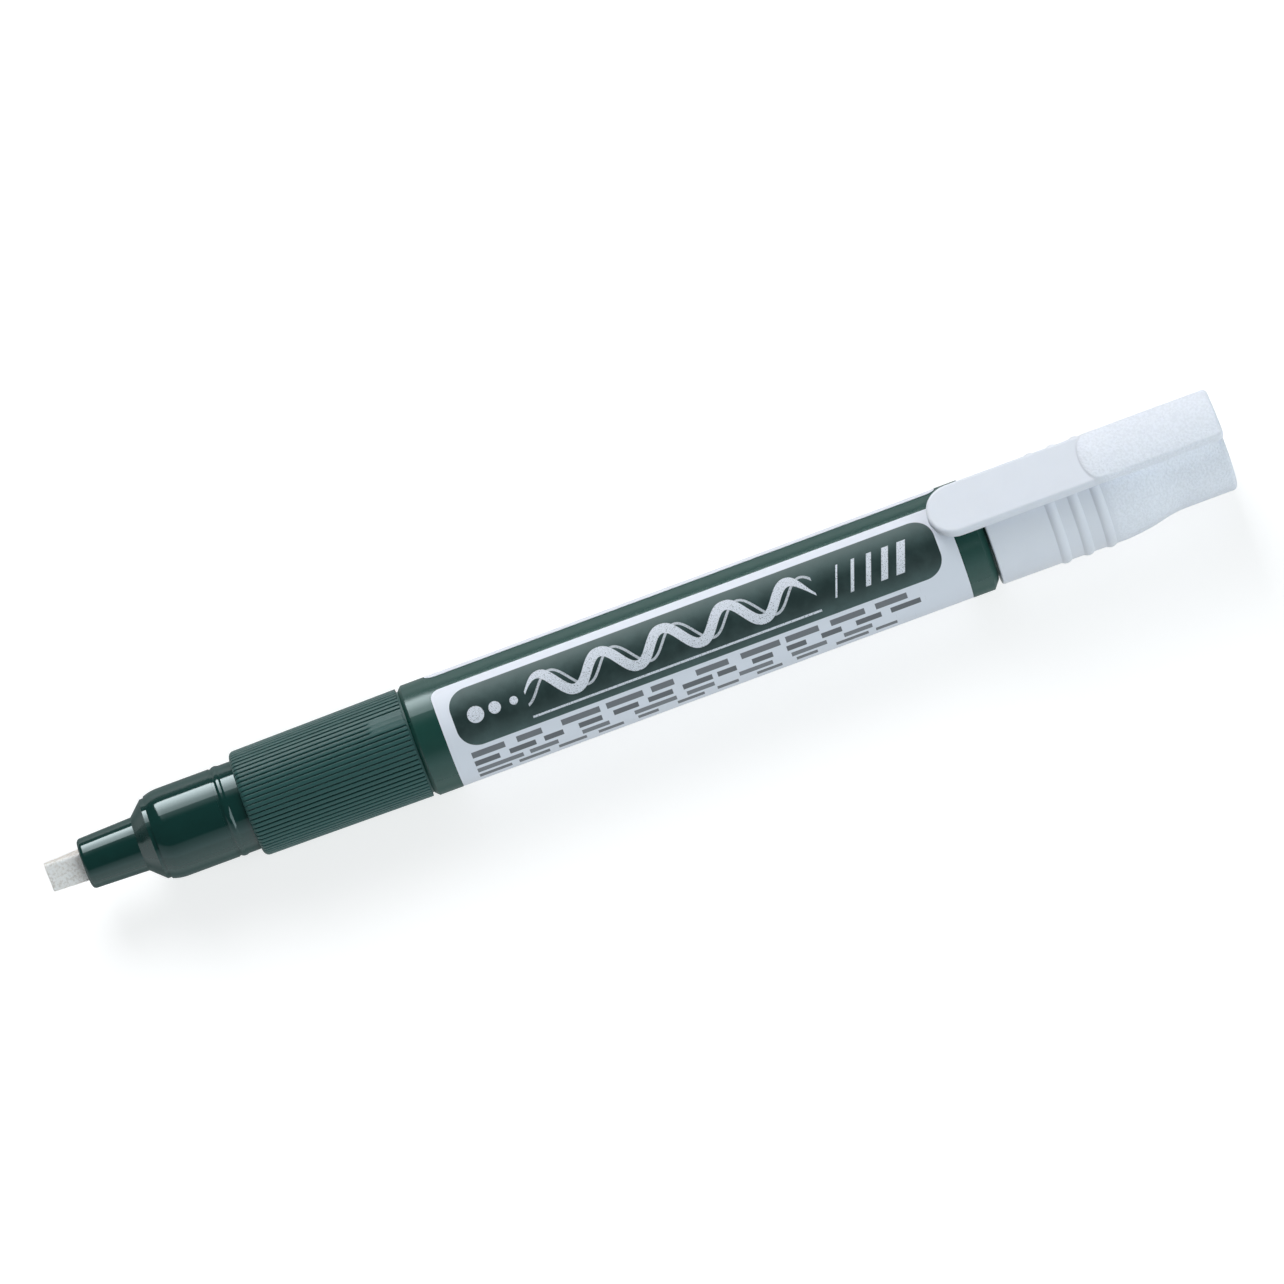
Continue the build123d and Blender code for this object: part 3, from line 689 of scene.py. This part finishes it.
def film_finish(colours, art):
    """Satin film: a dark chalky panel with waves, line samples and dots, and plain bars below it. The panel
    is painted lighter towards its top and bottom edges, a painted reflection.
    """
    film = Finish("label_print", IOR=1.42)
    drawn = Print(film, art)
    dust = film.noise(per_mm=11.0, detail=4.0)
    cloud = film.noise(per_mm=0.55, detail=4.0)
    from_dark = abs(drawn.across - (drawn.middle - drawn.dark_drop)) / ((drawn.top - drawn.bottom) / 2)
    # Painted reflection: the panel is painted lighter away from its darkest line, towards its top and bottom
    # edges, mixed with random cloud.
    edges = from_dark.rise(0.15, 1.0) * 0.9 + cloud.rise(0.35, 0.75) * 0.25
    paint = film.blend(edges * dust.span(0.75, 1.25), colours.panel, colours.panel_painted_reflection)
    board = drawn.panel(drawn.bottom, drawn.top, drawn.corner).inside(drawn.soft_edge)
    chalk = drawn.chalk() * dust.rise(0.3, 0.46)
    painted = film.blend(board, colours.film, paint)
    painted = film.blend(chalk * 0.95, painted, colours.film)
    painted = film.blend(drawn.ink() * 0.95, painted, colours.bars)
    film.bump(cloud, depth=0.006)
    return film.give(Base_Color=painted, Roughness=dust.span(0.44, 0.54))


def nib_cells(felt):
    """A copy of the nib's solid in even cells, its edges softened."""
    source = linked("nib_source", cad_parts["nib"].data.copy())
    weld = source.modifiers.new("weld", "WELD")
    weld.merge_threshold = felt.cell / 100
    cells = source.modifiers.new("cells", "REMESH")
    cells.voxel_size = felt.cell
    soften = source.modifiers.new("soften", "SMOOTH")
    soften.iterations = felt.smoothing
    return source


def felt_skin(growth, exposed, position):
    """The nib's surface, lumpy where it is exposed."""
    lumps_per_metre = growth.field("Grain_Size").apply("POWER", -1.0)
    feeds = {"Vector": position, "Scale": lumps_per_metre, "Detail": 3.0}
    lumps = growth.number("ShaderNodeTexNoise", feeds)
    height = (lumps - 0.5) * growth.field("Grain_Height") * exposed
    outwards = {0: growth.add("GeometryNodeInputNormal"), "Scale": height}
    offset = growth.add("ShaderNodeVectorMath", outwards, operation="SCALE")
    return growth.add("GeometryNodeSetPosition", {"Geometry": growth.given[0], "Offset": offset})


def felt_fibres(growth, exposed, skin):
    """Loose fibres, each a low bow, lying every way on the exposed felt."""
    seed, reach = growth.given["Seed"], growth.field("Fibre_Length")
    low_bow, high_bow = 0.1, 0.16
    points = growth.node(
        "GeometryNodeDistributePointsOnFaces",
        {"Mesh": skin, "Selection": exposed, "Density": growth.given["Fibre_Density"], "Seed": seed},
    ).outputs
    bow = growth.add(
        "GeometryNodeCurvePrimitiveBezierSegment",
        {
            "Resolution": 4,
            "Start": growth.vector(x=reach * -0.5),
            "Start Handle": growth.vector(z=reach * low_bow),
            "End Handle": growth.vector(z=reach * high_bow),
            "End": growth.vector(x=reach * 0.5),
        },
    )
    fibre = growth.tube(bow, growth.circle(4, growth.field("Fibre_Width")))
    index = growth.add("GeometryNodeInputIndex")
    spin = growth.add("FunctionNodeRandomValue", {3: 2 * pi, "ID": index, "Seed": seed}, out=1)
    turned = growth.add(
        "FunctionNodeRotateRotation",
        {"Rotation": points["Rotation"], "Rotate By": growth.rotation(growth.vector(z=spin))},
        rotation_space="LOCAL",
    )
    return growth.copies(points["Points"], fibre, turned)


class MARKER_OT_nib(bpy.types.Operator):
    """Make the felt nib, with its uneven surface and its loose fibres"""

    bl_idname = "chalk_marker.nib"
    bl_label = "Felt Nib"

    def execute(self, context):
        felt = context.scene.marker_nib
        growth = Growth(
            "nib_felt",
            Grain_Height=FLOAT, Grain_Size=FLOAT, Exposed_X=FLOAT, Fibre_Length=FLOAT, Fibre_Width=FLOAT,
            Fibre_Density=FLOAT, Seed=WHOLE,
        )
        position = growth.add("GeometryNodeInputPosition")
        exposed = (growth.field("Exposed_X") - growth.parts(position)[0]).apply("GREATER_THAN", 0.0)
        skin = felt_skin(growth, exposed, position)
        joined = growth.node("GeometryNodeJoinGeometry")
        growth.feed(joined.inputs[0], felt_fibres(growth, exposed, skin))
        growth.feed(joined.inputs[0], skin)
        growth.end(joined.outputs[0])
        mesh = growth.grow(
            nib_cells(felt),
            Material=felt_finish(context.scene.marker_finishes.felt), Grain_Height=felt.grain_height,
            Grain_Size=felt.grain_size, Exposed_X=nose_front, Fibre_Length=felt.fibre_length,
            Fibre_Width=felt.fibre_width, Fibre_Density=felt.fibre_density / MM ** 2, Seed=felt.seed,
        )
        piece = seat(linked("felt_nib", mesh), "nib_plunger")
        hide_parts("nib")
        return {"FINISHED"}


def collar_crest(grip, x):
    """Radius of the collar's crests at a place along it."""
    return collar_radius - grip.draft * (collar_high.x - x) / collar_length


def front_arc(grip, inset, steps):
    """Points (x, radius) round the collar's front edge, inset from its crests, from the face to the top."""
    middle_x = collar_low.x + grip.edge_round
    middle_radius = collar_crest(grip, middle_x) - grip.edge_round
    reach = grip.edge_round - inset
    angles = [pi - pi / 2 * step / steps for step in range(steps + 1)]
    return [(middle_x + reach * cos(a), middle_radius + reach * sin(a)) for a in angles]


def rib_path(grip):
    """The path of one rib's middle, over the collar's front edge and along its top."""
    inset = grip.rib_height / 2
    path = [*front_arc(grip, inset, 8), (collar_high.x, collar_radius - inset)]
    curve = bpy.data.curves.new("rib_path", "CURVE")
    curve.dimensions = "3D"
    spline = curve.splines.new("POLY")
    spline.points.add(len(path) - 1)
    for point, (x, radius) in zip(spline.points, path):
        point.co = (x, 0.0, radius, 1.0)
    return linked("rib_path", curve)


def collar_ribs(grip, material):
    """Ribs that run over the collar's front edge and along it, grown along one path and turned round it."""
    growth = Growth("grip_ribs", Count=WHOLE, Width=FLOAT, Height=FLOAT, Round=FLOAT, Axis_Height=FLOAT)
    given = growth.given
    outline = growth.add(
        "GeometryNodeCurvePrimitiveQuadrilateral", {"Width": given["Width"], "Height": given["Height"]}
    )
    rounding = {"Curve": outline, "Count": 3, "Radius": given["Round"]}
    section = growth.add("GeometryNodeFilletCurve", rounding, mode="POLY")
    upright = growth.add("GeometryNodeSetCurveNormal", {"Curve": given[0]}, mode="Z_UP")
    on_axis = {"Count": given["Count"], "Position": growth.vector(z=given["Axis_Height"])}
    points = growth.add("GeometryNodePoints", on_axis)
    step = growth.number("GeometryNodeInputIndex") + 0.5
    turn = growth.rotation(growth.vector(x=step * (2 * pi) / growth.field("Count")))
    growth.end(growth.copies(points, growth.tube(upright, section), turn))
    return growth.grow(
        rib_path(grip),
        Material=material, Count=grip.rib_count, Width=grip.rib_width, Height=grip.rib_height,
        Round=grip.rib_round, Axis_Height=axis_z,
    )


def turned_mesh(name, profile, material, steps=144):
    """A closed ring from a profile of (x, radius) points, turned about the marker's axis."""
    form = bmesh.new()
    rings = []
    for step in range(steps):
        turn = 2 * pi * step / steps
        rings.append([form.verts.new((x, r * sin(turn), axis_z + r * cos(turn))) for x, r in profile])
    for ring, after in zip(rings, rings[1:] + rings[:1]):
        for near in range(len(profile)):
            far = (near + 1) % len(profile)
            form.faces.new((ring[near], ring[far], after[far], after[near]))
    return mesh_of(form, name, material)


def collar_sleeve(grip, material):
    """The collar between its ribs: the grooves' floor, the front edge, the bore and the lip at the seam."""
    floor, bore = grip.groove_depth, barrel_radius - grip.wall
    arc = [point for point in front_arc(grip, SKIN, 12) if point[1] < collar_crest(grip, point[0]) - floor]
    arc_end = arc[-1][0]
    profile = [
        (collar_low.x + SKIN, bore),
        *arc,
        (arc_end + SKIN, collar_crest(grip, arc_end) - floor),
        (collar_high.x - SKIN, collar_radius - floor),
        (collar_high.x - SKIN, collar_radius - grip.seam_depth),
        (barrel_low.x - SKIN, collar_radius - grip.seam_depth),
        (barrel_low.x - SKIN, bore),
    ]
    mesh = turned_mesh("grip_sleeve", profile, material)
    mesh.set_sharp_from_angle(angle=radians(40))
    return mesh


def collar_pad(grip, material):
    """The smooth pad at the collar's rear, level with the ribs, into which the grooves fade out."""
    across, along = 12, 20
    turns = [grip.pad_turn + grip.pad_arc * (place / across - 0.5) for place in range(across + 1)]
    form = bmesh.new()

    def arc_row(x, radius):
        return [form.verts.new((x, radius * sin(t), axis_z + radius * cos(t))) for t in turns]

    tops, feet = [], []
    for step in range(along + 1):
        x = collar_high.x - grip.pad_length * (1 - step / along)
        crest = collar_crest(grip, x)
        rise = min(1.0, grip.pad_length * step / along / grip.pad_slope)
        tops.append(arc_row(x, crest - grip.groove_depth * (1 - rise * rise * (3 - 2 * rise))))
        feet.append(arc_row(x, crest - grip.pad_foot))
    strips = [*zip(tops, tops[1:]), *zip(feet, feet[1:]), (tops[0], feet[0]), (tops[-1], feet[-1])]
    for row, after in strips:
        for place in range(across):
            form.faces.new((row[place], row[place + 1], after[place + 1], after[place]))
    for side in (0, -1):
        for step in range(along):
            corners = (tops[step], tops[step + 1], feet[step + 1], feet[step])
            form.faces.new([row[side] for row in corners])
    source = linked("grip_pad", mesh_of(form, "grip_pad", material))
    soften = source.modifiers.new("soften", "BEVEL")
    soften.width = grip.pad_edge
    soften.segments = 3
    soften.limit_method = "ANGLE"
    soften.angle_limit = radians(50)
    return plain_mesh(source, "grip_pad")


class MARKER_OT_grip(bpy.types.Operator):
    """Make the grip collar's ribs, the sleeve between them and the smooth pad"""

    bl_idname = "chalk_marker.grip"
    bl_label = "Ribbed Grip"

    def execute(self, context):
        grip = context.scene.marker_grip
        material = grip_finish(context.scene.marker_finishes.grip)
        ribs = seat(linked("grip_ribs", collar_ribs(grip, material)), "marker_body")
        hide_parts("grip_collar")
        seat(linked("grip_sleeve", collar_sleeve(grip, material)), "marker_body")
        seat(linked("grip_pad", collar_pad(grip, material)), "marker_body")
        return {"FINISHED"}


class MARKER_OT_spring(bpy.types.Operator):
    """Make the valve's coil"""

    bl_idname = "chalk_marker.spring"
    bl_label = "Valve Coil"

    def execute(self, context):
        coil = context.scene.marker_spring
        growth = Growth("valve_coil", Turns=FLOAT, Radius=FLOAT, Length=FLOAT, Wire=FLOAT, Start=VECTOR)
        given = growth.given
        spiral = growth.add(
            "GeometryNodeCurveSpiral",
            {
                "Resolution": 40, "Rotations": given["Turns"], "Start Radius": given["Radius"],
                "End Radius": given["Radius"], "Height": given["Length"], "Reverse": True,
            },
        )
        laid = growth.add(
            "GeometryNodeTransform",
            {"Geometry": spiral, "Translation": given["Start"], "Rotation": (0.0, pi / 2, 0.0)},
        )
        growth.end(growth.tube(laid, growth.circle(12, growth.field("Wire"))))
        reach = spring_high.x - spring_low.x
        mesh = growth.grow(
            linked("coil_source", bpy.data.meshes.new("coil_source")),
            Material=steel_finish(context.scene.marker_finishes.steel), Turns=coil.turns, Wire=coil.wire,
            Length=reach - coil.wire, Radius=(spring_high.y - spring_low.y - coil.wire) / 2,
            Start=(spring_low.x + coil.wire / 2, 0.0, axis_z),
        )
        piece = seat(linked("valve_coil", mesh), "marker_body")
        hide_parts("valve_spring")
        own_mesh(piece)
        return {"FINISHED"}


class MARKER_OT_nose(bpy.types.Operator):
    """Finish the nose in gloss plastic"""

    bl_idname = "chalk_marker.nose"
    bl_label = "Gloss Nose"

    def execute(self, context):
        dress(nose_finish(context.scene.marker_finishes.nose), "nose")
        return {"FINISHED"}


class MARKER_OT_barrel(bpy.types.Operator):
    """Finish the barrel in satin plastic and print its label"""

    bl_idname = "chalk_marker.barrel"
    bl_label = "Barrel and Label"

    def execute(self, context):
        colours = context.scene.marker_finishes
        dress(barrel_finish(colours.barrel), "barrel")
        dress(film_finish(colours, context.scene.marker_print), "barrel_label")
        return {"FINISHED"}


class MARKER_OT_cap(bpy.types.Operator):
    """Finish the cap and its liner"""

    bl_idname = "chalk_marker.cap"
    bl_label = "Cap and Liner"

    def execute(self, context):
        colours = context.scene.marker_finishes
        dress(cap_finish(colours.cap), "cap")
        dress(natural_finish("liner_natural", colours.liner), "inner_cap")
        return {"FINISHED"}


class MARKER_OT_valve(bpy.types.Operator):
    """Finish the valve's pieces and the mixing ball"""

    bl_idname = "chalk_marker.valve"
    bl_label = "Valve and Ball"

    def execute(self, context):
        colours = context.scene.marker_finishes
        dress(natural_finish("valve_natural", colours.valve), "nib_holder", "valve_stem", "valve_housing")
        dress(seal_finish(colours.seal), "valve_seat")
        dress(steel_finish(colours.steel), "mixing_ball")
        return {"FINISHED"}


def softbox(name, direction, distance, size, power, colour, fade=0.0):
    """A softbox that faces the marker from a direction; with a fade, it is brightest at its lower edge."""
    data = bpy.data.lights.new(name, "AREA")
    data.shape = "RECTANGLE"
    data.size, data.size_y = size
    data.energy = power
    data.color = colour
    data.use_nodes = True
    nodes = Nodes(data.node_tree)
    height = nodes.parts(nodes.add("ShaderNodeNewGeometry", out="Parametric"))[1]
    strength = height.rise(1.0, 0.0).apply("POWER", fade)
    nodes.feed(nodes.tree.nodes["Emission"].inputs["Strength"], strength)
    made = linked(name, data)
    out = Vector(direction).normalized()
    made.location = Vector((0.0, 0.0, axis_z)) + out * distance
    made.rotation_euler = out.to_track_quat("Z", "Y").to_euler()
    made.visible_camera = False


def floor_finish(colour, lift):
    """A pale floor that keeps shadows, and looks white to the camera and in reflections, far off as well."""
    material = bpy.data.materials.new("studio_floor")
    material.use_nodes = True
    nodes = Nodes(material.node_tree)
    nodes.tree.nodes.remove(nodes.tree.nodes["Principled BSDF"])
    path = nodes.node("ShaderNodeLightPath").outputs
    seen = Field(nodes, path["Is Camera Ray"]).most(path["Is Glossy Ray"]).most(path["Is Transmission Ray"])
    place = nodes.add("ShaderNodeNewGeometry", out="Position")
    distance = nodes.number("ShaderNodeVectorMath", {0: place}, out="Value", operation="LENGTH")
    near, far = 200 * MM, 800 * MM
    glow = seen * distance.rise(near, far).span(lift, 1.0)
    white = nodes.add("ShaderNodeEmission", {"Color": (1.0, 1.0, 1.0, 1.0), "Strength": glow})
    matte = nodes.add("ShaderNodeBsdfDiffuse", {"Color": opaque(colour)})
    both = nodes.add("ShaderNodeAddShader", {0: matte, 1: white})
    nodes.feed(nodes.tree.nodes["Material Output"].inputs["Surface"], both)
    return material


def studio_world(studio):
    """A dim studio with a pale card along its front wall, brightest near the floor."""
    world = bpy.data.worlds.new("studio")
    world.use_nodes = True
    nodes = Nodes(world.node_tree)
    back, up = nodes.parts(nodes.add("ShaderNodeTexCoord", out="Generated"))[1:]
    front_turn, card_top, card_edge = 0.35, 0.54, 0.02
    card = back.rise(0.0, -front_turn) * up.rise(card_top + card_edge, card_top - card_edge)
    level = card * (up * -studio.wall_fade + studio.wall_level) + studio.room_level
    background = nodes.tree.nodes["Background"]
    nodes.feed(background.inputs["Color"], opaque(studio.room_tint))
    nodes.feed(background.inputs["Strength"], level)
    return world


def studio_floor(studio):
    """The floor under the marker."""
    form = bmesh.new()
    bmesh.ops.create_grid(form, x_segments=1, y_segments=1, size=studio.floor_side / 2)
    material = floor_finish(studio.floor_tint, studio.floor_lift)
    floor = linked("studio_floor", mesh_of(form, "studio_floor", material))


def studio_lights(studio):
    """A softbox above and behind the marker, and a card towards its cap end."""
    back, side = studio.key_turn, studio.fill_turn
    softbox(
        "key_softbox", (studio.key_shift, sin(back), cos(back)), studio.key_distance,
        (studio.key_width, studio.key_height), studio.key_power, studio.key_tint, fade=studio.key_fade,
    )
    softbox(
        "side_card", (sin(side), -studio.fill_front, studio.fill_rise), studio.fill_distance,
        (studio.fill_size, studio.fill_size), studio.fill_power, studio.fill_tint,
    )


def studio_camera(studio):
    """A long-lens camera in front of the marker, rolled so that the marker rises to the right."""
    height = studio.elevation
    back = Vector((0.0, -cos(height), sin(height)))
    above = Vector((0.0, sin(height), cos(height)))
    aim = Vector((studio.aim_along, 0.0, axis_z)) + above * studio.aim_above
    data = bpy.data.cameras.new("camera")
    data.lens = studio.lens
    data.clip_start = 10 * MM
    camera = linked("camera", data)
    camera.location = aim + back * (studio.frame_width * studio.lens / data.sensor_width)
    level = (-back).to_track_quat("-Z", "Y")
    camera.rotation_euler = (level @ Quaternion((0.0, 0.0, 1.0), -studio.roll)).to_euler()
    return camera


class MARKER_OT_studio(bpy.types.Operator):
    """Set up the floor, the lights and the camera at the photograph's angle"""

    bl_idname = "chalk_marker.studio"
    bl_label = "Studio"

    def execute(self, context):
        scene, studio = context.scene, context.scene.marker_studio
        scene.view_settings.view_transform = "Standard"
        scene.world = studio_world(studio)
        studio_floor(studio)
        studio_lights(studio)
        scene.camera = studio_camera(studio)
        return {"FINISHED"}


class MARKER_PT_panel(bpy.types.Panel):
    """The marker's pieces and settings"""

    bl_idname = "MARKER_PT_panel"
    bl_label = "Chalk Marker"
    bl_space_type = "VIEW_3D"
    bl_region_type = "UI"
    bl_category = "Chalk Marker"

    def draw(self, context):
        column = self.layout.column()
        for operator in operators:
            column.operator(operator.bl_idname)
        for name in settings:
            group = getattr(context.scene, name)
            column.separator()
            for field in group.__annotations__:
                column.prop(group, field)


operators = (
    MARKER_OT_nib, MARKER_OT_grip, MARKER_OT_spring, MARKER_OT_nose, MARKER_OT_barrel, MARKER_OT_cap,
    MARKER_OT_valve, MARKER_OT_studio,
)
settings = {
    "marker_nib": NibFelt,
    "marker_grip": GripSizes,
    "marker_spring": SpringCoil,
    "marker_print": LabelPrint,
    "marker_finishes": Finishes,
    "marker_studio": Studio,
}


def register():
    for kind in (*settings.values(), *operators, MARKER_PT_panel):
        bpy.utils.register_class(kind)
    for name, group in settings.items():
        setattr(bpy.types.Scene, name, PointerProperty(type=group))


def unregister():
    for name in settings:
        delattr(bpy.types.Scene, name)
    for kind in (MARKER_PT_panel, *reversed(operators), *settings.values()):
        bpy.utils.unregister_class(kind)


def main():
    register()
    bpy.ops.chalk_marker.nib()
    bpy.ops.chalk_marker.grip()
    bpy.ops.chalk_marker.spring()
    bpy.ops.chalk_marker.nose()
    bpy.ops.chalk_marker.barrel()
    bpy.ops.chalk_marker.cap()
    bpy.ops.chalk_marker.valve()
    bpy.ops.chalk_marker.studio()


if __name__ == "__main__":
    main()
